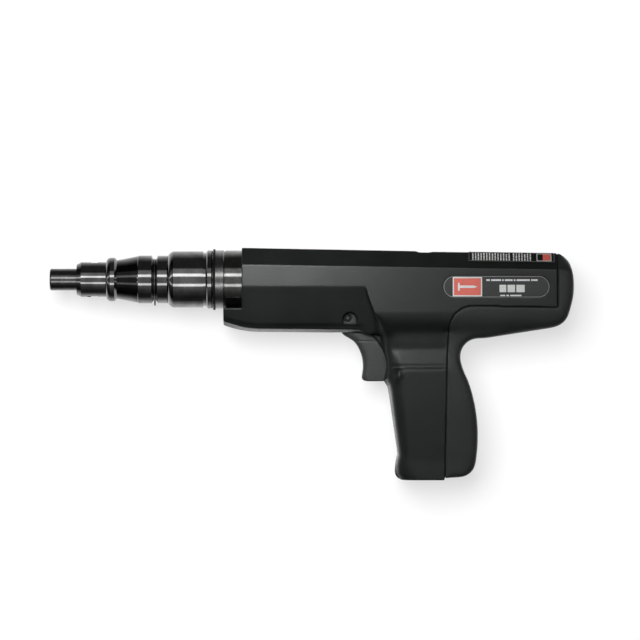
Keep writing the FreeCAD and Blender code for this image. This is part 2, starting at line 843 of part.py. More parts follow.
def grip_corner_cut(name, outline):
    """Corner rounding that follows the grip's leaning front downwards."""
    corner = prism(f"grip_corner_{name}", "XY", outline, 0, GRIP_CORNER_REACH,
                   offset=GRIP_CORNER_TOP)
    corner.Dir = Vector(-math.sin(FRONT_LEAN), 0, math.cos(FRONT_LEAN))
    return corner


def neck_corner_cut(name, outline):
    """Upright corner rounding of the neck, down to where the grip's own begins."""
    return prism(f"neck_corner_{name}", "XY", outline, 0, NECK_CORNER_TOP - GRIP_CORNER_TOP,
                 offset=NECK_CORNER_TOP)


def mirrored_across(outline):
    """Outline on the other side of the middle plane, in a plan view."""
    return [tuple(-c if place % 2 else c for place, c in enumerate(entry)) for entry in outline]


def make_form():
    block = prism("form_block", "XZ", FORM_SIDE, "housing_half", "housing_half")
    cutters = [grip_corner_cut("right", GRIP_CORNER),
               grip_corner_cut("left", mirrored_across(GRIP_CORNER)),
               neck_corner_cut("right", NECK_CORNER),
               neck_corner_cut("left", mirrored_across(NECK_CORNER))]
    chamfer = [("top_flat_half", "top_flat_up"), (26.0, 6.83), (26.0, 24.0),
               ("top_flat_half", 24.0)]
    cheek = [(23.0, -4.7), (11.7, -36.0), (11.0, -48.0), (26.0, -48.0), (26.0, -4.7)]
    cheek_side = [(100.0, 0.0), (205.6, 0.0), (208.0, -10.0), (212.6, -23.0), (217.5, -34.0),
                  (220.5, -48.0), (100.0, -48.0)]
    for name, flip in (("right", False), ("left", True)):
        top = mirrored(chamfer) if flip else chamfer
        low = mirrored(cheek) if flip else cheek
        roll = mirrored(FORM_ROLL) if flip else FORM_ROLL
        # The chamfer's section is given at the housing's front and falls to the rear.
        top_cut = prism(f"top_chamfer_{name}", "YZ", top, 240, tilt=TOP_SLOPE)
        top_cut.Placement.Base = Vector(number("housing_front") - 6, 0, 6 * math.tan(TOP_SLOPE))
        cheek_section = prism(f"cheek_section_{name}", "YZ", low, 240)
        cheek_reach = prism(f"cheek_reach_{name}", "XZ", cheek_side, 30, 30)
        roll_cut = prism(f"roll_{name}", "YZ", roll, 360)
        grip_space = box(f"roll_space_{name}", (205.0, -30, -140), (360, 30, -15))
        cutters += [top_cut, common(f"cheek_{name}", cheek_section, cheek_reach),
                    common(f"roll_cut_{name}", roll_cut, grip_space)]
    return cut("outer_form", block, fuse("form_cutters", cutters))


outer_form = make_form()

# Side view of the rear pad: the butt, the underside behind the hand and the backstrap.
PAD_SIDE = [
    ("seam_back", 30.0),
    ("seam_back", -18.2),
    (278.0, -17.2),
    (266.0, -21.6, 261.3, -33.5),
    (260.2, -45.0),
    (258.4, -140.0),
    (360.0, -140.0),
    (360.0, 30.0),
]

# Core of the shells that reaches into the pad, 3.5 mm below its skin.
CORE_SIDE = [
    (250.0, 13.6),
    (336.4, 12.6),
    (338.6, -3.0, 336.6, -18.0),
    (333.5, -25.0, 328.0, -28.2),
    (283.0, -35.1),
    (268.6, -39.6, 265.1, -51.4),
    (266.6, -58.0, 270.0, -66.4),
    (276.2, -94.0, 275.5, -116.6),
    (272.5, -123.6, 266.0, -125.6),
    (250.0, -125.8),
]
CORE_SECTION = [
    (-9.0, 14.6), (9.0, 14.6), (19.4, 4.4), (19.4, -18.0),
    (18.2, -26.0, 13.8, -33.0), (13.8, -130.0), (-13.8, -130.0), (-13.8, -33.0),
    (-18.2, -26.0, -19.4, -18.0), (-19.4, 4.4),
]


pad_region = prism("pad_region", "XZ", PAD_SIDE, 30, 30)
core_form = common("core_form", prism("core_side", "XZ", CORE_SIDE, 30, 30),
                   prism("core_section", "YZ", CORE_SECTION, 400))
pad_solid = common("pad_solid", outer_form, pad_region)
pad_hollow = cut("pad_hollow", pad_solid, core_form)
keep(pad_hollow, "rear_pad")


# --- Hollows of the housing ---------------------------------------------------------------------

TRIGGER_SPACE = [
    (186.0, -17.0),
    (186.0, -68.2),
    (229.4, -68.2),
    (229.4, -42.0),
    (222.0, -32.6),
    (212.0, -22.6),
    (200.0, -17.0),
]
# Shell screws: place along and up, and how far out the head's seat is on the right.
SCREWS = [
    (150.0, -27.0, 9.0),
    (227.0, -25.4, 16.0),
    (296.0, -14.2, 18.0),
    (233.4, -54.0, 12.0),
    (255.6, -106.0, 12.5),
    (233.6, -114.0, 12.5),
]
SCREW_RADIUS = 1.6
SCREW_HEAD_RADIUS = 2.8
SCREW_HEAD_HEIGHT = 2.2
SCREW_START = -8.0                      # tip, inside the left shell
SPOT_FACE = 13.8                        # flat around the trigger pin, from the middle


def make_screws():
    pieces = []
    for count, (along, up, seat) in enumerate(SCREWS, start=1):
        shank = rod_along(f"screw_shank_{count}", "Y", (along, SCREW_START, up),
                          seat - SCREW_START, SCREW_RADIUS)
        head = rod_along(f"screw_head_{count}", "Y", (along, seat, up), SCREW_HEAD_HEIGHT,
                         SCREW_HEAD_RADIUS)
        socket = rod_along(f"screw_socket_{count}", "Y", (along, seat + 0.9, up), 2.0, 1.2)
        pieces.append(cut(f"screw_{count}", fuse(f"screw_blank_{count}", [shank, head]), socket))
    return keep(fuse("shell_screws", pieces), "shell_screws")


make_screws()


def screw_holes(side):
    """Holes for the screws; the heads are let into the right shell."""
    holes = []
    for count, (along, up, seat) in enumerate(SCREWS, start=1):
        holes.append(rod_along(f"{side}_screw_hole_{count}", "Y", (along, SCREW_START - 1, up),
                               seat - SCREW_START + 2, SCREW_RADIUS + 0.05))
        if side == "right":
            holes.append(rod_along(f"screw_counterbore_{count}", "Y", (along, seat - 0.02, up),
                                   20, SCREW_HEAD_RADIUS + 0.2))
    return holes


def spot_face(side):
    """D-shaped flat around the trigger pin's end."""
    reach = 20.0
    start = SPOT_FACE if side == "right" else -SPOT_FACE - reach
    round_top = rod_along(f"{side}_spot_round", "Y", (196.6, start, -26.1), reach, 4.6)
    foot = box(f"{side}_spot_foot", (192.0, start, -32.0), (201.2, start + reach, -26.1))
    return [round_top, foot]


def middle_hollows(side):
    """The hollows that both shells share."""
    gap = 0.1
    return [
        rod_along(f"{side}_bore", "X", ("shoe_front - 5", 0, 0),
                  "sleeve_step + contact_travel + 0.6 - shoe_front + 5", "housing_bore"),
        rod_along(f"{side}_back_bore", "X", ("sleeve_step", 0, 0),
                  "breech_front - sleeve_step", "housing_back_bore"),
        rod_along(f"{side}_bore_mouth", "X", ("shoe_front - 5", 0, 0),
                  "housing_front - shoe_front + 5", "bumper_radius + 0.3"),
        box(f"{side}_breech_seat", ("breech_front - 0.1", -BREECH_HALF_WIDTH - gap,
                                    -BREECH_HALF_HEIGHT - gap),
            ("breech_end + 0.1", BREECH_HALF_WIDTH + gap, BREECH_HALF_HEIGHT + gap)),
        rod_along(f"{side}_striker_bore", "X", (257.0, 0, 0), 73.1, 10.4),
        box(f"{side}_guide_space", (f"channel_front - {GUIDE_WALL + gap}", -GUIDE_HALF - gap, -140),
            (f"channel_back + {GUIDE_WALL + gap}", GUIDE_HALF + gap, -BREECH_HALF_HEIGHT)),
        box(f"{side}_channel_exit", ("channel_front", "-channel_half", 12),
            ("channel_back", "channel_half", 25)),
        prism(f"{side}_trigger_space", "XZ", TRIGGER_SPACE, "trigger_slot_half",
              "trigger_slot_half"),
        rod_along(f"{side}_trigger_pin_hole", "Y", ("pivot_along", -30, "pivot_up"), 60,
                  "pivot_radius + running_gap"),
        box(f"{side}_sear_space", (257.0, -3.3, -33.4), (279.8, 3.3, -8.0)),
        rod_along(f"{side}_sear_pin_hole", "Y", ("sear_along", -9.1, "sear_up"), 17.7,
                  "sear_pin_radius + running_gap"),
        box(f"{side}_pawl_space", (252.0, -4.4, -80.0), (256.6, 4.4, -37.6)),
        rod_along(f"{side}_feed_spring_space", "Z", (254.2, 0, -96.3), 17.0, 2.2),
    ]


def link_hollows():
    """Room in the right shell for the cocking rod, the trigger spring and the trigger bar."""
    return [
        radial_box("cocking_rod_groove", 187.0, 284.6, 15.0, 24.8, 2.6),
        radial_box("striker_arm_groove", 261.0, 284.6, 7.0, 16.0, 2.6),
        rod_along("trigger_spring_space", "Y", ("pivot_along", 5.0, "pivot_up"), 4.6, 4.1),
        box("cam_space", (193.6, 5.0, -33.5), (204.6, 11.7, -27.0)),
        box("bar_space", (200.0, 8.7, -32.1), (267.6, 11.1, -28.5)),
        box("sear_boss_space", (262.6, 3.0, -33.4), (271.2, 11.3, -27.0)),
    ]


PLATE_FACE = 22.7                       # back of the nameplate, from the middle
PLATE_SIDE = [
    (264.5, -12.1),
    (319.4, -12.1),
    (326.7, -4.85, 319.4, 2.4),
    (264.5, 2.4),
    (257.2, -4.85, 264.5, -12.1),
]


def closed_by_arc(outline):
    """Outline whose last arc returns to its first corner."""
    return [outline[-1]] + outline[1:-1]


keep(prism("side_nameplate", "XZ", closed_by_arc(PLATE_SIDE), 0.4, offset=PLATE_FACE),
     "side_nameplate")


def make_top_label():
    """Thin label on the left upper chamfer of the receiver."""
    length = 56.0
    width = 8.6
    fall = math.degrees(TOP_SLOPE)
    lean = 44.73
    label = doc.addObject("Part::Box", "top_label")
    bind(label, Length=length, Width=width, Height=0.25)
    turn = Rotation(Vector(0, 1, 0), fall).multiply(Rotation(Vector(1, 0, 0), lean))
    down_slope = 5.0
    middle = Vector(302.0, -12.0 - down_slope * math.cos(math.radians(lean)),
                    20.7 - (302.0 - number("housing_front")) * math.tan(TOP_SLOPE)
                    - down_slope * math.sin(math.radians(lean)))
    corner = turn.multVec(Vector(-length / 2, -width / 2, 0.03))
    label.Placement = Placement(middle + corner, turn)
    return keep(label, "top_label")


make_top_label()

pad_skin = cut("pad_skin", pad_region, core_form)
shell_form = cut("shell_form", outer_form, pad_skin)


def make_shell(side):
    """One half of the housing, split down the middle."""
    low = -30.0 if side == "left" else 0.0
    half = common(f"{side}_half", shell_form, box(f"{side}_side", (100, low, -140),
                                                   (360, low + 30.0, 40)))
    hollows = middle_hollows(side) + screw_holes(side) + spot_face(side)
    if side == "right":
        hollows += link_hollows()
    else:
        hollows.append(prism("nameplate_recess", "XZ", closed_by_arc(PLATE_SIDE), 5,
                             offset=PLATE_FACE - 0.05))
    return keep(cut(f"{side}_shell", half, fuse(f"{side}_hollows", hollows)), f"{side}_shell")


make_shell("left")
make_shell("right")


# --- Check and write -----------------------------------------------------------------------------

doc.recompute()
for item in doc.Objects:
    if "Invalid" in item.State or "Error" in item.State:
        raise RuntimeError(f"{item.Name} failed: {item.State}")
for item in subparts:
    if item.Shape.isNull() or not item.Shape.isValid() or not item.Shape.Solids:
        raise RuntimeError(f"{item.Label} has no valid solid")

os.makedirs("parts", exist_ok=True)
for item in subparts:
    item.Shape.exportStep(f"parts/{item.Label}.step")
print(f"{len(subparts)} sub-parts written")
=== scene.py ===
import json
import math

import bpy
import numpy as np
from mathutils import Matrix, Vector

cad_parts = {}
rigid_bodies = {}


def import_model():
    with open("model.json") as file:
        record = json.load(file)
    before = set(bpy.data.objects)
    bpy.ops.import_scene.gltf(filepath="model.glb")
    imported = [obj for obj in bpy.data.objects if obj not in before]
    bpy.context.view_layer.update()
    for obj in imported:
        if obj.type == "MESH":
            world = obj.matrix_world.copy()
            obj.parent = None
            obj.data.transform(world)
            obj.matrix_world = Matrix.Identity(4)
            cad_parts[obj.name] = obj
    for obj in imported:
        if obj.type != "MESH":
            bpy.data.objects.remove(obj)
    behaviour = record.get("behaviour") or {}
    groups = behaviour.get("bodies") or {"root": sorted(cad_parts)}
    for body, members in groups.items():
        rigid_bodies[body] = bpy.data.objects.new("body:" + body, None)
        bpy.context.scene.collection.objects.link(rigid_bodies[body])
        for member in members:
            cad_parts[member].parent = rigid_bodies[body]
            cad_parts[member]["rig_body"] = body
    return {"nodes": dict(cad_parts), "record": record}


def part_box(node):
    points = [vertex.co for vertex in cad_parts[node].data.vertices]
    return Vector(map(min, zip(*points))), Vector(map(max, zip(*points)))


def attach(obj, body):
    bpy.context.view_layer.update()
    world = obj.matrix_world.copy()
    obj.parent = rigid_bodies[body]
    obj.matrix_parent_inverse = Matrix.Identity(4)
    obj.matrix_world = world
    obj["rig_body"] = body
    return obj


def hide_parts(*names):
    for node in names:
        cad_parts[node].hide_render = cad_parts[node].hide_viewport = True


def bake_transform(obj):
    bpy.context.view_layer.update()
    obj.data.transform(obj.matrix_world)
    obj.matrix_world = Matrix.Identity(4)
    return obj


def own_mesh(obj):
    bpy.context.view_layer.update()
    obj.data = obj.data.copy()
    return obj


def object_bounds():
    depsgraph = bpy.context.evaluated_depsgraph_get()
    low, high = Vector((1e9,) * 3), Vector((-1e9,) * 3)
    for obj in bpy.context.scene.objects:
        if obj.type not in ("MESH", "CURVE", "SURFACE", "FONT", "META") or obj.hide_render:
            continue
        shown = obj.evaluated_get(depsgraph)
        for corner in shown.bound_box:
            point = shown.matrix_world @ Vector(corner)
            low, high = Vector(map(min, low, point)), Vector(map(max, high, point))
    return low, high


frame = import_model()
cad_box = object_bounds()

# Powder-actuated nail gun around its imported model: X from the muzzle to the butt, Y across,
# Z up, in metres. The side with the nameplate faces -Y.
MM = 0.001
NODES = frame["nodes"]


def link(piece):
    bpy.context.scene.collection.objects.link(piece)
    return piece


# --- Camera, floor and light ----------------------------------------------------------------

LENS = 250.0
SENSOR = 36.0
VIEW_WIDTH = 0.4198
VIEW_CENTRE = Vector((0.1771, 0.0, -0.0265))


def make_camera():
    camera = bpy.data.cameras.new("camera")
    camera.lens = LENS
    camera.sensor_width = SENSOR
    camera.dof.use_dof = False
    camera.clip_start = 0.05
    camera.clip_end = 50.0
    eye = link(bpy.data.objects.new("camera", camera))
    distance = VIEW_WIDTH * LENS / SENSOR
    eye.location = VIEW_CENTRE - Vector((0, distance, 0))
    eye.rotation_euler = (math.radians(90), 0, 0)
    bpy.context.scene.camera = eye


def add(tree, kind, inputs=None, **settings):
    """New shader node; each input is a value or another node's output."""
    node = tree.nodes.new(kind)
    for name, value in settings.items():
        setattr(node, name, value)
    for socket, value in (inputs or {}).items():
        if isinstance(value, bpy.types.NodeSocket):
            tree.links.new(value, node.inputs[socket])
        else:
            node.inputs[socket].default_value = value
    return node


def ramp(tree, factor, stops, smooth=True):
    """Colour ramp through (place, grey or colour) stops."""
    node = add(tree, "ShaderNodeValToRGB", {"Fac": factor})
    node.color_ramp.interpolation = "EASE" if smooth else "LINEAR"
    elements = node.color_ramp.elements
    while len(elements) < len(stops):
        elements.new(0.5)
    for element, (place, colour) in zip(elements, stops):
        element.position = place
        element.color = (*colour, 1) if isinstance(colour, tuple) else (colour,) * 3 + (1,)
    return node.outputs["Color"]


def calc(tree, operation, first, second=0.0, third=0.0, clamp=False):
    """Output of a math node; each value is a number or another node's output."""
    node = add(tree, "ShaderNodeMath", {0: first, 1: second, 2: third}, operation=operation,
               use_clamp=clamp)
    return node.outputs[0]


# Brightness of the studio around the gun's long axis, by angle in degrees from the camera:
# positive is above it and 180 either way is the floor behind the gun. Two strip lights show
# as the two bright lines along every polished round piece.
STUDIO = [
    (-180, 0.38), (-150, 0.33), (-126, 0.25), (-112, 0.12), (-100, 0.04), (-94, 0.012),
    (-74, 0.010), (-52, 0.03), (-29, 0.09), (-27, 0.80), (-19, 0.80), (-17, 0.10),
    (11, 0.10), (13, 1.00), (22, 1.00), (24.5, 0.14), (42, 0.12), (47, 0.012),
    (96, 0.015), (113, 0.09), (130, 0.22), (150, 0.33), (180, 0.38),
]
STUDIO_LEVEL = 2.9

# Share of that light left in front of the gun, by how far it comes from the gun's ends: 0 is
# square to the long axis and 1 is along it. Behind the gun all of it is left.
END_FADE = [(0.0, 1.0), (0.12, 1.0), (0.26, 0.14), (0.5, 0.12), (0.72, 0.5), (1.0, 0.5)]
FRONT_EDGE = 4.0                        # how sharply the front half turns into the back half


def make_world():
    """Studio that lights the gun; the camera itself sees plain white."""
    world = bpy.data.worlds.new("studio")
    bpy.context.scene.world = world
    world.use_nodes = True
    tree = world.node_tree
    tree.nodes.clear()
    way = add(tree, "ShaderNodeTexCoord").outputs["Generated"]
    part = add(tree, "ShaderNodeSeparateXYZ", {0: way})
    towards_camera = calc(tree, "MULTIPLY", part.outputs["Y"], -1.0)
    angle = calc(tree, "ARCTAN2", part.outputs["Z"], towards_camera)
    turn = calc(tree, "MULTIPLY_ADD", angle, 0.5 / math.pi, 0.5)
    around = ramp(tree, turn, [(0.5 + angle / 360, level) for angle, level in STUDIO],
                  smooth=False)
    in_front = calc(tree, "MULTIPLY_ADD", towards_camera, FRONT_EDGE, 0.5, clamp=True)
    along = calc(tree, "MULTIPLY", calc(tree, "ABSOLUTE", part.outputs["X"]), in_front)
    reach = ramp(tree, along, END_FADE)
    light = add(tree, "ShaderNodeMix", {"Factor": 1.0, 6: around, 7: reach},
                data_type="RGBA", blend_type="MULTIPLY")
    studio = add(tree, "ShaderNodeBackground", {"Color": light.outputs[2],
                                                "Strength": STUDIO_LEVEL})
    white = add(tree, "ShaderNodeBackground", {"Color": (1, 1, 1, 1), "Strength": 1.0})
    seen = add(tree, "ShaderNodeLightPath").outputs["Is Camera Ray"]
    mixed = add(tree, "ShaderNodeMixShader", {0: seen, 1: studio.outputs[0],
                                              2: white.outputs[0]})
    add(tree, "ShaderNodeOutputWorld", {"Surface": mixed.outputs[0]})


FLOOR_HALF = 1.6
FLOOR_GAP = 0.0004                      # between the gun's far side and the floor
PAPER_GREY = (0.30, 0.30, 0.30, 1)
PAPER_GLOW = 0.645                      # the even part of the floor's light


def make_floor():
    """Pale surface that the gun's far side lies on; it is clear from behind."""
    low, high = cad_box
    middle = (low + high) / 2
    corners = [(middle.x + a * FLOOR_HALF, high.y + FLOOR_GAP, middle.z + b * FLOOR_HALF)
               for a, b in ((-1, -1), (1, -1), (1, 1), (-1, 1))]
    mesh = bpy.data.meshes.new("floor")
    mesh.from_pydata(corners, [], [(0, 1, 2, 3)])
    floor = link(bpy.data.objects.new("floor", mesh))
    material = bpy.data.materials.new("floor_paper")
    material.use_nodes = True
    tree = material.node_tree
    tree.nodes.clear()
    paper = add(tree, "ShaderNodeBsdfDiffuse", {"Color": PAPER_GREY})
    glow = add(tree, "ShaderNodeEmission", {"Color": (1, 1, 1, 1), "Strength": PAPER_GLOW})
    surface = add(tree, "ShaderNodeAddShader", {0: paper.outputs[0], 1: glow.outputs[0]})
    clear = add(tree, "ShaderNodeBsdfTransparent")
    seen = add(tree, "ShaderNodeLightPath").outputs["Is Camera Ray"]
    behind = add(tree, "ShaderNodeNewGeometry").outputs["Backfacing"]
    shown = calc(tree, "MULTIPLY", seen, calc(tree, "SUBTRACT", 1.0, behind))
    mixed = add(tree, "ShaderNodeMixShader", {0: shown, 1: clear.outputs[0],
                                              2: surface.outputs[0]})
    add(tree, "ShaderNodeOutputMaterial", {"Surface": mixed.outputs[0]})
    mesh.materials.append(material)
    return floor


def softbox(name, place, size, power, target=None, spread=180, only=()):
    """Square area light aimed at the gun's middle or at a target, with its spread in
    degrees; it may light only some of the pieces."""
    lamp = bpy.data.lights.new(name, "AREA")
    lamp.size = size
    lamp.energy = power
    lamp.spread = math.radians(spread)
    item = link(bpy.data.objects.new(name, lamp))
    item.location = place
    aim = Vector(target) if target else (cad_box[0] + cad_box[1]) / 2
    item.rotation_mode = "QUATERNION"
    item.rotation_quaternion = (aim - item.location).to_track_quat("-Z", "Y")
    if only:
        lit = bpy.data.collections.new(f"{name}_lights")
        for piece in only:
            lit.objects.link(piece)
        item.light_linking.receiver_collection = lit
    return item


make_camera()
make_world()
floor = make_floor()
bpy.context.scene.view_settings.view_transform = "Standard"


# --- Materials --------------------------------------------------------------------------------

def new_material(name):
    """Empty material, its node tree, and the place on the piece to draw patterns by."""
    material = bpy.data.materials.new(name)
    material.use_nodes = True
    tree = material.node_tree
    tree.nodes.clear()
    place = add(tree, "ShaderNodeTexCoord").outputs["Object"]
    return material, tree, place


def noise(tree, place, scale, stretch=(1, 1, 1), detail=3.0, rough=0.5):
    """Fractal noise with the given number of features per metre, stretched by axis."""
    spread = add(tree, "ShaderNodeMapping", {"Vector": place, "Scale": stretch})
    return add(tree, "ShaderNodeTexNoise", {"Vector": spread.outputs[0], "Scale": scale,
                                            "Detail": detail, "Roughness": rough}).outputs[0]


def blend(tree, factor, first, second):
    """Mix of two colours, from the first at 0 to the second at 1."""
    node = add(tree, "ShaderNodeMix", {"Factor": factor, 6: first, 7: second},
               data_type="RGBA")
    return node.outputs[2]


def scaled(colour, share, lift=0.0):
    return tuple(min(1.0, c * share + lift) for c in colour)


def close_material(tree, colour, roughness, heights, **constants):
    """Principled surface whose bump adds up (height, strength, distance) layers."""
    normal = None
    for height, strength, distance in heights:
        inputs = {"Height": height, "Strength": strength, "Distance": distance}
        if normal is not None:
            inputs["Normal"] = normal
        normal = add(tree, "ShaderNodeBump", inputs).outputs[0]
    inputs = {"Base Color": colour, "Roughness": roughness, **constants}
    if normal is not None:
        inputs["Normal"] = normal
    surface = add(tree, "ShaderNodeBsdfPrincipled", inputs)
    add(tree, "ShaderNodeOutputMaterial", {"Surface": surface.outputs[0]})


DUST = (0.20, 0.21, 0.20, 1)


def grained_plastic(name, colour, roughness, grain=1900.0, depth=0.00006, scuff=0.10,
                    specular=0.5):
    """Moulded plastic or rubber: spark-eroded grain, soft mottling, scuffs and dust."""
    material, tree, place = new_material(name)
    fine = noise(tree, place, grain, detail=4.0, rough=0.6)
    cells = add(tree, "ShaderNodeTexVoronoi", {"Vector": place, "Scale": grain * 0.7}).outputs[0]
    mottle = noise(tree, place, 46.0, detail=5.0)
    patch = ramp(tree, noise(tree, place, 130.0, detail=6.0, rough=0.7),
                 [(0.0, 0.0), (0.58, 0.0), (0.78, 1.0)])
    scratch = ramp(tree, noise(tree, place, 240.0, stretch=(0.16, 1, 3.2), detail=4.0),
                   [(0.0, 0.0), (0.66, 0.0), (0.74, 1.0)])
    specks = ramp(tree, noise(tree, place, 900.0, detail=2.0),
                  [(0.0, 0.0), (0.735, 0.0), (0.79, 1.0)])
    base = ramp(tree, mottle, [(0.25, scaled(colour, 0.80)), (0.75, scaled(colour, 1.22))])
    dusty = (*scaled(colour, 1.9, 0.012), 1)
    base = blend(tree, calc(tree, "MULTIPLY", patch, scuff), base, dusty)
    base = blend(tree, calc(tree, "MULTIPLY", scratch, scuff * 1.6), base, dusty)
    base = blend(tree, calc(tree, "MULTIPLY", specks, scuff * 1.2), base, DUST)
    shine = calc(tree, "MULTIPLY_ADD", mottle, 0.14, roughness - 0.07)
    shine = calc(tree, "MULTIPLY_ADD", patch, -0.05, shine)
    close_material(tree, base, shine, [(cells, 0.35, depth), (fine, 0.55, depth),
                                       (mottle, 0.12, 0.0004)],
                   **{"Specular IOR Level": specular})
    return material


STAIN = (0.19, 0.172, 0.153, 1)
PIT = (0.015, 0.014, 0.013, 1)


def turned_steel(name, colour, roughness, rings=0.25, lines=0.0, stain=0.0, wear=0.15,
                 ring_scale=5200.0):
    """Turned steel on the bore's axis: lathe rings, scratches along it, wear and stains."""
    material, tree, place = new_material(name)
    lathe = noise(tree, place, ring_scale, stretch=(1, 0.004, 0.004), detail=3.0, rough=0.7)
    coarse = noise(tree, place, 900.0, stretch=(1, 0.02, 0.02), detail=2.0)
    drawn = noise(tree, place, 1500.0, stretch=(0.02, 1, 1), detail=3.0, rough=0.6)
    cloud = noise(tree, place, 120.0, detail=5.0, rough=0.6)
    rub = ramp(tree, noise(tree, place, 330.0, stretch=(1, 0.25, 0.25), detail=5.0, rough=0.7),
               [(0.0, 0.0), (0.55, 0.0), (0.75, 1.0)])
    pits = ramp(tree, noise(tree, place, 1300.0, detail=2.0),
                [(0.0, 1.0), (0.27, 1.0), (0.33, 0.0)])
    base = ramp(tree, cloud, [(0.25, scaled(colour, 0.72)), (0.75, scaled(colour, 1.25))])
    worn = (*scaled(colour, 2.1, 0.06), 1)
    base = blend(tree, calc(tree, "MULTIPLY", rub, wear), base, worn)
    if stain:
        marks = noise(tree, place, 210.0, stretch=(0.9, 1, 1), detail=6.0, rough=0.65)
        stained = ramp(tree, marks, [(0.0, 0.0), (0.46, 0.0), (0.60, 1.0)])
        base = blend(tree, calc(tree, "MULTIPLY", stained, stain), base, STAIN)
        roughness += 0.04
    base = blend(tree, calc(tree, "MULTIPLY", pits, 0.35), base, PIT)
    shine = calc(tree, "MULTIPLY_ADD", cloud, 0.14, roughness - 0.07)
    shine = calc(tree, "MULTIPLY_ADD", rub, 0.08, shine)
    heights = [(lathe, rings, 0.000010), (coarse, rings * 0.8, 0.00003)]
    if lines:
        heights.append((drawn, lines, 0.00002))
    close_material(tree, base, shine, heights, Metallic=1.0)
    return material


HEAT_TINT = (0.25, 0.16, 0.10, 1)


def plain_steel(name, colour, roughness, scale=700.0, heat=0.0):
    """Ground or drawn steel with an even fine grain, used for pins, springs and blocks."""
    material, tree, place = new_material(name)
    grain = noise(tree, place, scale * 4, detail=4.0, rough=0.7)
    cloud = noise(tree, place, scale * 0.35, detail=5.0)
    spots = ramp(tree, noise(tree, place, scale, detail=4.0),
                 [(0.0, 0.0), (0.6, 0.0), (0.72, 1.0)])
    dark = scaled(colour, 0.7)
    base = ramp(tree, cloud, [(0.3, dark), (0.7, scaled(colour, 1.2))])
    base = blend(tree, calc(tree, "MULTIPLY", spots, 0.35), base, (*dark, 1))
    if heat:
        base = blend(tree, calc(tree, "MULTIPLY", cloud, heat), base, HEAT_TINT)
    shine = calc(tree, "MULTIPLY_ADD", cloud, 0.16, roughness - 0.08)
    close_material(tree, base, shine, [(grain, 0.3, 0.00002)], Metallic=1.0)
    return material


def pin_with_painted_shade_ring(name, middle, core, outer, inner):
    """Steel pin along Y with a core of that radius, in metres, and two greys: the lighter inner
    grey in the core, and around it the outer grey with a darker ring, which is painted shade of
    the hole around the pin's end.
    """
    material, tree, place = new_material(name)
    part = add(tree, "ShaderNodeSeparateXYZ", {0: place})
    across = calc(tree, "SUBTRACT", part.outputs["X"], middle.x)
    up = calc(tree, "SUBTRACT", part.outputs["Z"], middle.z)
    squares = calc(tree, "ADD", calc(tree, "POWER", across, 2.0), calc(tree, "POWER", up, 2.0))
    away = calc(tree, "DIVIDE", calc(tree, "SQRT", squares), 2 * core)
    grain = noise(tree, place, 2600.0, detail=4.0)
    # Lighter middle, then a darker ring of painted shade standing in for the hole around the pin's
    # end, then the outer grey.
    base = ramp(tree, away, [(0.0, inner), (0.42, inner), (0.52, outer * 0.4), (0.75, outer)])
    shine = calc(tree, "MULTIPLY_ADD", grain, 0.2, 0.32)
    close_material(tree, base, shine, [(grain, 0.3, 0.00002)], Metallic=1.0)
    return material


def printed_ink(name, colour):
    """Screen-printed ink: nearly even, with small thin spots."""
    material, tree, place = new_material(name)
    thin = noise(tree, place, 2400.0, detail=3.0)
    base = ramp(tree, thin, [(0.3, scaled(colour, 0.82)), (0.6, colour)])
    shine = calc(tree, "MULTIPLY_ADD", thin, 0.2, 0.35)
    close_material(tree, base, shine, [(thin, 0.2, 0.00002)])
    return material


SHELL_COLOUR = (0.0064, 0.0082, 0.0077)
FINISHES = {
    "shell_plastic": grained_plastic("shell_plastic", SHELL_COLOUR, 0.44, scuff=0.12,
                                     specular=0.36),
    "pad_rubber": grained_plastic("pad_rubber", (0.0180, 0.0206, 0.0199), 0.52, grain=2600.0,
                                  depth=0.00005, scuff=0.06, specular=0.42),
    "trigger_plastic": grained_plastic("trigger_plastic", (0.036, 0.040, 0.039), 0.44,
                                       grain=3000.0, depth=0.00003, scuff=0.10, specular=0.38),
    "guide_plastic": grained_plastic("guide_plastic", (0.05, 0.05, 0.052), 0.5, grain=2400.0),
    "nameplate_print": grained_plastic("nameplate_film", (0.0085, 0.0100, 0.0098), 0.34,
                                       grain=4200.0, depth=0.00001, scuff=0.04),
    "label_print": grained_plastic("label_film", (0.006, 0.006, 0.006), 0.32, grain=4200.0,
                                   depth=0.00001, scuff=0.04),
    "ring_rubber": grained_plastic("ring_rubber", (0.012, 0.012, 0.012), 0.55, grain=2600.0,
                                   scuff=0.08),
    "polished_steel": turned_steel("polished_steel", (0.27, 0.27, 0.27), 0.085, rings=0.09,
                                   lines=0.05, wear=0.12),
    "guide_steel": turned_steel("guide_steel", (0.21, 0.21, 0.208), 0.19, rings=0.25, wear=0.25),
    "brushed_steel": turned_steel("brushed_steel", (0.34, 0.34, 0.338), 0.24, rings=0.6,
                                  wear=0.12, ring_scale=2600.0),
    "inner_steel": plain_steel("inner_steel", (0.42, 0.41, 0.40), 0.30, heat=0.15),
    "pin_steel": plain_steel("pin_steel", (0.16, 0.16, 0.16), 0.34),
    "spring_steel": plain_steel("spring_steel", (0.36, 0.36, 0.35), 0.30, scale=1100.0),
    "screw_steel": plain_steel("screw_steel", (0.10, 0.10, 0.10), 0.38, scale=1000.0),
}
SLEEVE_STEEL = turned_steel("stained_sleeve_steel", (0.30, 0.30, 0.29), 0.07, rings=0.10,
                            lines=0.05, stain=0.30, wear=0.12)
COLLAR_STEEL = turned_steel("collar_steel", (0.30, 0.30, 0.30), 0.075, rings=0.08, lines=0.16,
                            wear=0.10)


def dress(piece, material):
    """Give a piece one material on every face."""
    piece.data.materials.clear()
    piece.data.materials.append(material)


SLOTS = {part["node"]: part["material_slot"] for part in frame["record"]["subparts"]}

for name, node in NODES.items():
    dress(node, FINISHES[SLOTS[name]])
dress(NODES["receiver_sleeve"], SLEEVE_STEEL)
dress(NODES["barrel_collar"], COLLAR_STEEL)

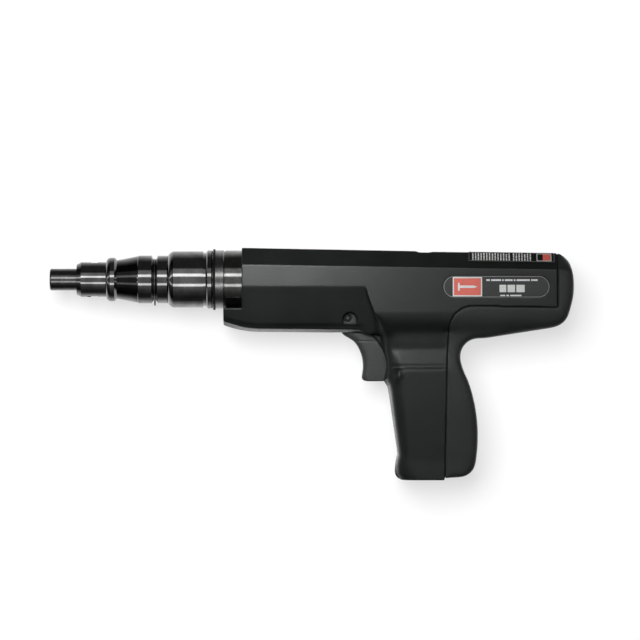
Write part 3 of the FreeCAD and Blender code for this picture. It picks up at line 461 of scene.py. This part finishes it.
PIN_CORE = 0.0011
pin_low, pin_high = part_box("trigger_pin")
# The trigger pin's end gets a painted dark ring as the shade of its hole.
pin_steel = pin_with_painted_shade_ring("trigger_pin_steel_painted_shade", (pin_low + pin_high) / 2, PIN_CORE, 0.05, 0.16)
dress(NODES["trigger_pin"], pin_steel)


# --- Moulded pieces ---------------------------------------------------------------------------

def step(values, start, end):
    """Smooth rise from 0 at start to 1 at end; start may be the larger."""
    share = np.clip((values - start) / (end - start), 0.0, 1.0)
    return share * share * (3.0 - 2.0 * share)


def read_points(mesh):
    points = np.zeros(len(mesh.vertices) * 3)
    mesh.vertices.foreach_get("co", points)
    return points.reshape(-1, 3) / MM


def write_points(mesh, points):
    mesh.vertices.foreach_set("co", (points * MM).ravel())
    mesh.update()


def even_copy(node, voxel):
    """Copy of a CAD node rebuilt from small even faces, with sizes in mm."""
    rough = link(bpy.data.objects.new(f"{node}_rough", NODES[node].data.copy()))
    remesh = rough.modifiers.new("even", "REMESH")
    remesh.mode = "VOXEL"
    remesh.voxel_size = voxel * MM
    graph = bpy.context.evaluated_depsgraph_get()
    mesh = bpy.data.meshes.new_from_object(rough.evaluated_get(graph))
    bpy.data.objects.remove(rough)
    mesh.name = f"{node}_skin"
    return mesh


def relax(points, edges, weight, rounds, pull=0.5):
    """Draw every point towards the middle of its neighbours, round after round."""
    total = len(points)
    neighbours = np.bincount(edges.ravel(), minlength=total)[:, None]
    share = pull * np.broadcast_to(weight, (total,))[:, None]
    first, second = edges[:, 0], edges[:, 1]
    for _ in range(rounds):
        middle = np.empty_like(points)
        for axis in range(3):
            values = points[:, axis]
            middle[:, axis] = (np.bincount(first, values[second], total)
                               + np.bincount(second, values[first], total))
        points += share * (middle / neighbours - points)
    return points


def distance_to_line(points, line):
    """Distance of each point from a broken line, both seen from the side."""
    best = np.full(len(points), 1e9)
    flat = points[:, (0, 2)]
    for start, end in zip(line[:-1], line[1:]):
        start = np.array(start)
        way = np.array(end) - start
        share = np.clip((flat - start) @ way / (way @ way), 0.0, 1.0)
        best = np.minimum(best, np.linalg.norm(flat - start - share[:, None] * way, axis=1))
    return best


# Line where the rear pad meets the shells, in mm from the side.
PAD_SEAM = [(331.9, 18.0), (331.9, -18.2), (278.0, -17.2), (270.5, -18.6), (265.6, -22.4),
            (262.6, -27.6), (261.3, -33.5), (260.2, -45.0), (258.4, -130.0)]


def all_over(points):
    return 1.0


def moulded(node, voxel, edge_rounds, soften, faces_kept, shape=None, edges_kept=all_over):
    """Replace a CAD node with a moulded skin. Soften, a function of the points, gives
    (weight, rounds) pairs for large radii, edges_kept weighs the small ones, and shape
    adds details."""
    mesh = even_copy(node, voxel)
    points = read_points(mesh)
    edges = np.zeros(len(mesh.edges) * 2, dtype=np.int64)
    mesh.edges.foreach_get("vertices", edges)
    edges = edges.reshape(-1, 2)
    for weight, rounds in soften(points):
        points = relax(points, edges, weight, rounds, pull=0.9)
    points = relax(points, edges, edges_kept(points), edge_rounds)
    if shape:
        points = shape(points)
    write_points(mesh, points)
    piece = link(bpy.data.objects.new(f"{node}_skin", mesh))
    thin = piece.modifiers.new("thin_out", "DECIMATE")
    thin.ratio = faces_kept
    graph = bpy.context.evaluated_depsgraph_get()
    thinned = bpy.data.meshes.new_from_object(piece.evaluated_get(graph))
    piece.modifiers.clear()
    piece.data = thinned
    thinned.name = f"{node}_skin"
    bpy.data.meshes.remove(mesh)
    thinned.polygons.foreach_set("use_smooth", [True] * len(thinned.polygons))
    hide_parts(node)
    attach(piece, NODES[node]["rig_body"])
    dress(piece, FINISHES[SLOTS[node]])
    return piece


SCREWS_APART = 8.0                      # less than the gap between any two shell screws


def screw_places():
    """One point on each shell screw, seen from the side, in mm."""
    mesh = NODES["shell_screws"].data
    points = read_points(mesh)
    places = []
    for x, _, z in points[::3]:
        if all(math.hypot(x - px, z - pz) > SCREWS_APART for px, pz in places):
            places.append((x, z))
    return places


# Where the grip's large radii begin, each as the place of none and the place of all, in mm.
SOFT_BELOW = (-22.0, -27.0)
SOFT_ABOVE = (-127.5, -124.0)
SOFT_BEHIND = (211.0, 216.0)
SOFT_OUTSIDE = (7.0, 9.0)
SOFT_OFF_SCREWS = (4.2, 7.0)
SOFT_NECK = (-52.0, -46.0)
SOFT_FRONT = (234.0, 229.0)


def shell_softness(points):
    """Large radii on the grip: most on its neck and front, none at the pad's seam."""
    x, y, z = points.T
    side = np.abs(y)
    seam = step(distance_to_line(points, PAD_SEAM), 2.0, 5.0) * step(x, 262.0, 256.0)
    clear = np.ones(len(points))
    if y.mean() > 0:                    # the shell with the seats of the screws
        for screw_x, screw_z in screw_places():
            away = np.hypot(x - screw_x, z - screw_z)
            clear = np.minimum(clear, step(away, *SOFT_OFF_SCREWS))
    grip = step(z, *SOFT_BELOW) * step(z, *SOFT_ABOVE) * step(side, *SOFT_OUTSIDE) * seam * clear
    grip *= step(x, *SOFT_BEHIND)
    neck = grip * step(z, *SOFT_NECK)
    front = grip * step(x, *SOFT_FRONT) * (0.35 + 0.65 * step(z, -124.0, -112.0))
    return [(np.maximum(neck, front * 0.8), 90), (grip * 0.5, 24)]


SPOT_MIDDLE = (196.6, -27.5)            # flat around the trigger pin, in mm from the side


def shell_edges(points):
    """Weight of the small radii; the flat around the trigger pin keeps crisp edges."""
    away = np.hypot(points[:, 0] - SPOT_MIDDLE[0], points[:, 2] - SPOT_MIDDLE[1])
    return 0.25 + 0.75 * step(away, 5.5, 8.0)


SHOE_FLOOR = -34.3                      # height of the shoe's underside where it is level
SHOE_NOSE = (140.0, 25.4, 4.5)          # where it turns up, over what length and how far
SHOE_RISE = 2.4                         # how far the shoe's underside rises towards its sides
SHOE_KEEL = 6.6                         # half width of the underside's level middle
SHOE_HALF = 12.5


def slope_shoe(points):
    """The shoe's underside slopes up from its level middle to its side edges."""
    x, y, z = points.T
    start, length, rise = SHOE_NOSE
    bottom = SHOE_FLOOR + rise * np.clip((start - x) / length, 0.0, 1.0) ** 2
    under = np.clip((np.abs(y) - SHOE_KEEL) / (SHOE_HALF - SHOE_KEEL), 0.0, 1.0)
    under *= step(z - bottom, 6.5, 0.4) * step(x, 208.0, 200.0)
    points[:, 2] += SHOE_RISE * under


KICK_OUT = 2.4                          # how far the grip's front kicks out at its foot


def kick_foot(points):
    x, y, z = points.T
    kick = step(z, -113.0, -124.0) * (1.0 - 0.8 * step(z, -126.0, -131.0))
    kick *= step(x, 243.0, 231.0) * step(np.abs(y), 7.0, 12.5)
    points[:, 0] -= KICK_OUT * kick


NECK_HOLLOWS = [(-45.5, 3.2, 0.55), (-57.0, 1.6, 0.42)]     # height, half length, depth


def hollow_neck(points):
    """Shallow hollows across the neck's sides, from near its front to the pad's seam."""
    x, y, z = points.T
    side = step(np.abs(y), 11.0, 14.0) * step(x, 221.0, 227.0)
    side *= step(distance_to_line(points, PAD_SEAM), 0.5, 2.5)
    for height, reach, depth in NECK_HOLLOWS:
        points[:, 1] -= np.sign(y) * side * depth * np.exp(-((z - height) / reach) ** 2)


GRIP_EAR = (228.0, -63.0)               # upper front corner of the lower grip, which stands out
GRIP_EAR_REACH = (2.6, 3.8)
GRIP_EAR_OUT = 1.6


def stand_ear_out(points):
    x, y, z = points.T
    along = (x - GRIP_EAR[0]) / GRIP_EAR_REACH[0]
    up = (z - GRIP_EAR[1]) / GRIP_EAR_REACH[1]
    ear = np.exp(-along ** 2 - up ** 2)
    ear *= step(z, -57.5, -59.5) * step(np.abs(y), 8.0, 12.0)
    points[:, 1] += np.sign(y) * GRIP_EAR_OUT * ear


def shell_shape(points):
    """Details of the shells: the shoe, the grip's foot, its neck and the lower grip's ear."""
    slope_shoe(points)
    kick_foot(points)
    hollow_neck(points)
    stand_ear_out(points)
    return points


def pad_softness(points):
    """Large radii everywhere but at the seam with the shells."""
    away = step(distance_to_line(points, PAD_SEAM), 1.6, 5.5)
    return [(away, 44)]


TRIGGER_STEP = -40.3                    # where the trigger's blade meets its upper arm
TRIGGER_FRONT = [(191.3, -35.9), (199.3, -40.3), (202.6, -45.0), (204.3, -51.0),
                 (204.6, -57.0), (204.4, -63.0), (204.0, -65.8)]


def trigger_softness(points):
    """The finger's side of the blade has a large radius."""
    return [(step(distance_to_line(points, TRIGGER_FRONT), 4.4, 2.6), 110)]


def trigger_shape(points):
    """Shallow groove across the sides, between the blade and its upper arm."""
    depth = 0.45 * np.exp(-((points[:, 2] - TRIGGER_STEP) / 0.35) ** 2)
    points[:, 1] *= 1.0 - depth / np.maximum(np.abs(points[:, 1]), 2.0)
    return points


SHELL_VOXEL = 0.5
PAD_VOXEL = 0.7
TRIGGER_VOXEL = 0.4

# Node, voxel in mm, rounds for the small radii, softening, share of the faces kept, details.
housing_skins = [
    moulded("left_shell", SHELL_VOXEL, 5, shell_softness, 0.22, shell_shape, shell_edges),
    moulded("right_shell", SHELL_VOXEL, 5, shell_softness, 0.22, shell_shape, shell_edges),
    moulded("rear_pad", PAD_VOXEL, 3, pad_softness, 0.4),
    moulded("trigger", TRIGGER_VOXEL, 5, trigger_softness, 0.5, trigger_shape),
]

# --- Springs ----------------------------------------------------------------------------------

# Springs that a moving piece presses together: node, joint, and by how many mm it shortens.
PRESSED_SPRINGS = [("mainspring", "striker_slide", 16.4),
                   ("contact_spring", "contact_slide", 16.4),
                   ("sear_spring", "sear_hinge", 0.95)]


def coil_copy(node):
    """Copy of a spring's own mesh, in its own finish."""
    coil = link(bpy.data.objects.new(f"{node}_coil", NODES[node].data.copy()))
    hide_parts(node)
    return coil


for node, joint, shortening in PRESSED_SPRINGS:
    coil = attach(coil_copy(node), "housing")
    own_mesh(coil)

# The feed spring stretches between the housing and the feed.
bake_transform(coil_copy("feed_spring"))

# --- Printed plates ---------------------------------------------------------------------------

INK = 0.03                              # thickness of a printed layer, in mm like all here
WHITE_INK = printed_ink("white_ink", (0.82, 0.83, 0.82))
GREY_INK = printed_ink("grey_ink", (0.30, 0.31, 0.30))
CORAL_INK = printed_ink("coral_ink", (0.80, 0.155, 0.115))


def rounded_outline(left, low, right, high, radius, steps=8):
    """Corners of a rectangle with round corners, counted anticlockwise."""
    points = []
    centres = [(right - radius, high - radius), (left + radius, high - radius),
               (left + radius, low + radius), (right - radius, low + radius)]
    for quarter, (x, z) in enumerate(centres):
        for part in range(steps + 1):
            angle = math.radians(90 * (quarter + part / steps))
            points.append((x + radius * math.cos(angle), z + radius * math.sin(angle)))
    return points


def layers(name, shapes, back, front, place, material):
    """Flat closed solids between two levels; a shape is an outline, or a pair of them for
    a frame with an opening, and place turns (along, up, out) in mm into a point."""
    points, faces = [], []
    for shape in shapes:
        loops = shape if isinstance(shape, tuple) else (shape,)
        rims = []
        for loop in loops:
            for level in (back, front):
                rims.append(list(range(len(points), len(points) + len(loop))))
                points += [place(u, v, level) for u, v in loop]
        count = len(loops[0])
        for number in range(count):
            after = (number + 1) % count
            for place_in_pair, (low, high) in enumerate(zip(rims[::2], rims[1::2])):
                side = (low[number], low[after], high[after], high[number])
                faces.append(side if place_in_pair == 0 else side[::-1])
            if len(loops) == 2:
                outer_back, outer_front, inner_back, inner_front = rims
                faces.append((outer_front[number], outer_front[after], inner_front[after],
                              inner_front[number]))
                faces.append((outer_back[after], outer_back[number], inner_back[number],
                              inner_back[after]))
        if len(loops) == 1:
            faces.append(tuple(rims[1]))
            faces.append(tuple(rims[0][::-1]))
    mesh = bpy.data.meshes.new(name)
    mesh.from_pydata(points, [], faces)
    mesh.update()
    piece = link(bpy.data.objects.new(name, mesh))
    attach(piece, "housing")
    dress(piece, material)
    return piece


def bar(left, low, right, high, radius=0.12):
    return rounded_outline(left, low, right, high, radius, steps=3)


def framed(left, low, right, high, width, radius=0.3):
    """Thin frame just inside a rounded rectangle."""
    return (rounded_outline(left, low, right, high, radius),
            rounded_outline(left + width, low + width, right - width, high - width,
                            max(radius - width, 0.05)))


PLATE_PLAY = 0.02                       # what its round ends lack of half its height
PLATE_INSET = 0.05
BORDER_INSET = 0.45
BORDER_WIDTH = 0.28
SIGN_SPAN = (6.3, 25.4)                 # from the plate's front end
SIGN_MARGIN = 0.95                      # above the sign, and below it
SIGN_FRAME = 0.75                       # width of the white edge around the coral field
NAIL_ROOM = (3.4, 3.0)                  # from the sign's ends to the nail's head and point
NAIL_HEAD = (1.1, 2.6)                  # length and half height
NAIL_HALF = 0.8
NAIL_TIP = 2.4

# Bars in place of the wording, one fine row, one heavy row and one small row: start from the
# plate's front end, depth of bottoms and tops below its upper edge, gap, corner and lengths.
WORD_ROWS = [
    (28.2, 3.5, 2.4, 0.80, 0.12, (2.3, 6.4, 0.9, 5.0, 1.1, 8.6, 4.3)),
    (36.7, 10.8, 6.0, 0.85, 0.30, (4.4, 4.9, 5.4)),
    (37.2, 13.4, 12.5, 0.80, 0.12, (3.2, 1.6, 7.4)),
]


def on_side(u, v, out):
    """Point of the nameplate, from mm along X, up Z and out towards -Y."""
    return Vector((u, -out, v)) * MM


def plain_nail(head, point, middle):
    """Head, shank and tip of a nail that lies along the sign."""
    length, half = NAIL_HEAD
    neck = head + length
    shoulder = point - NAIL_TIP
    low, high = middle - NAIL_HALF, middle + NAIL_HALF
    return [bar(head, middle - half, neck, middle + half),
            bar(neck, low, shoulder, high, 0.05),
            [(shoulder, low), (point, middle), (shoulder, high)]]


def word_bars(front, upper):
    bars = []
    for first, bottom, top, gap, corner, lengths in WORD_ROWS:
        start = front + first
        for length in lengths:
            bars.append(bar(start, upper - bottom, start + length, upper - top, corner))
            start += length + gap
    return bars


def make_nameplate():
    """Stadium-shaped plate with a thin border, a plain nail sign and bars for its wording.
    White is thicker than coral, so the nail shows on the sign's field."""
    low, high = (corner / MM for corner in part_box("side_nameplate"))
    face = -low.y - INK
    radius = (high.z - low.z) / 2 - PLATE_PLAY
    plate, outer, inner = (
        rounded_outline(low.x + d, low.z + d, high.x - d, high.z - d, radius - d, steps=20)
        for d in (PLATE_INSET, BORDER_INSET, BORDER_INSET + BORDER_WIDTH))
    body = layers("nameplate", [plate], -high.y, face, on_side, FINISHES["nameplate_print"])
    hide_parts("side_nameplate")
    border = layers("nameplate_border", [(outer, inner)], face, face + INK * 0.8, on_side,
                    GREY_INK)
    left, right = low.x + SIGN_SPAN[0], low.x + SIGN_SPAN[1]
    bottom, top = low.z + SIGN_MARGIN, high.z - SIGN_MARGIN
    field = rounded_outline(left + SIGN_FRAME, bottom + SIGN_FRAME, right - SIGN_FRAME,
                            top - SIGN_FRAME, 0.1)
    coral = layers("nameplate_coral", [field], face, face + INK * 0.5, on_side, CORAL_INK)
    marks = [framed(left, bottom, right, top, SIGN_FRAME)]
    marks += plain_nail(left + NAIL_ROOM[0], right - NAIL_ROOM[1], (bottom + top) / 2)
    marks += word_bars(low.x, high.z)
    white = layers("nameplate_white", marks, face, face + INK * 0.9, on_side, WHITE_INK)
    return [body, border, coral, white]


LABEL_LEAN = math.radians(44.73)
LABEL_FALL = math.radians(0.89)
LABEL_TURN = Matrix.Rotation(LABEL_FALL, 3, "Y") @ Matrix.Rotation(LABEL_LEAN, 3, "X")
label_low, label_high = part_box("top_label")
LABEL_MIDDLE = (label_low + label_high) / 2
LABEL_HALF = (28.0, 4.3)
LABEL_THICK = 0.25
LABEL_EDGE = 0.15                       # bare strip outside the border
LABEL_BORDER = 0.22
LABEL_FRAME = (16.4, -3.5, 26.0, 3.5)   # left, low, right and high from the label's middle
LABEL_FIELD = (20.4, -3.0, 25.4, 3.0)

# Blocks of fine rows that run across the label, each row a line of random bars.
BLOCK_STARTS = (-25.8, -13.0, 0.8)
BLOCK_ROWS = 7
ROW_LEAD = 0.6                          # from a block's start to its first row's middle
ROW_PITCH = 1.82
ROW_HALF = 0.42
ROW_END = 3.4                           # rows run this far to either side of the middle
ROW_GAP = 0.4
BAR_LENGTHS = (0.8, 3.0)


def on_label(u, v, out):
    """Point of the label, from mm along it, across it and out of it."""
    return LABEL_MIDDLE + LABEL_TURN @ Vector((u, v, out)) * MM


def fine_rows():
    draw = np.random.default_rng(11)
    bars = []
    for block_start in BLOCK_STARTS:
        for row in range(BLOCK_ROWS):
            middle = block_start + ROW_LEAD + row * ROW_PITCH
            start = -ROW_END
            while start < ROW_END - ROW_GAP:
                length = min(draw.uniform(*BAR_LENGTHS), ROW_END - start)
                bars.append(bar(middle - ROW_HALF, start, middle + ROW_HALF, start + length, 0.08))
                start += length + ROW_GAP
    return bars


def make_top_label():
    """Label on the upper chamfer: three blocks of fine rows, and a frame with a coral field."""
    half_long, half_wide = LABEL_HALF
    face = LABEL_THICK / 2 - INK
    top = face + INK
    plate = rounded_outline(-half_long, -half_wide, half_long, half_wide, 0.6)
    body = layers("label", [plate], -LABEL_THICK / 2, face, on_label, FINISHES["label_print"])
    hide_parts("top_label")
    border = framed(-half_long + LABEL_EDGE, -half_wide + LABEL_EDGE, half_long - LABEL_EDGE,
                    half_wide - LABEL_EDGE, LABEL_BORDER, 0.5)
    marks = fine_rows() + [framed(*LABEL_FRAME, 0.45)]
    field = rounded_outline(*LABEL_FIELD, 0.1)
    return [body,
            layers("label_border", [border], face, top - 0.01, on_label, GREY_INK),
            layers("label_white", marks, face, top, on_label, WHITE_INK),
            layers("label_coral", [field], face, top - 0.01, on_label, CORAL_INK)]


prints = make_nameplate() + make_top_label()

# --- Lamps ------------------------------------------------------------------------------------

# Only the floor sees this one: it shades the sheet and casts the gun's soft shadow.
softbox("shadow_light", (-0.38, -2.60, 0.75), 1.6, 96.0, only=[floor])

# Broad light on the plastic and the prints, without a highlight of its own.
key = softbox("key_light", (-0.25, -1.30, 0.80), 0.60, 4.0, only=housing_skins + prints)
key.visible_glossy = False

# Small lamps that lift one area each: the nose, the butt, the shoe, and the grip's front.
softbox("front_glow", (0.135, -0.30, 0.075), 0.09, 0.165, target=(0.12, 0.0, 0.02),
        spread=75, only=housing_skins + prints)
softbox("rear_glow", (0.31, -0.45, 0.10), 0.12, 0.028, target=(0.31, 0.0, 0.0),
        spread=60, only=housing_skins + prints)
softbox("under_glow", (0.10, 0.30, -0.33), 0.15, 0.03, target=(0.13, 0.0, -0.03),
        spread=50, only=housing_skins[:1])
softbox("strap_glow", (-0.12, 0.40, -0.10), 0.15, 0.035, target=(0.228, -0.01, -0.09),
        spread=50, only=housing_skins[:1])

# The plastic's far side, for views from behind.
softbox("back_light", (0.35, 1.25, 0.35), 1.0, 14.0, only=housing_skins)
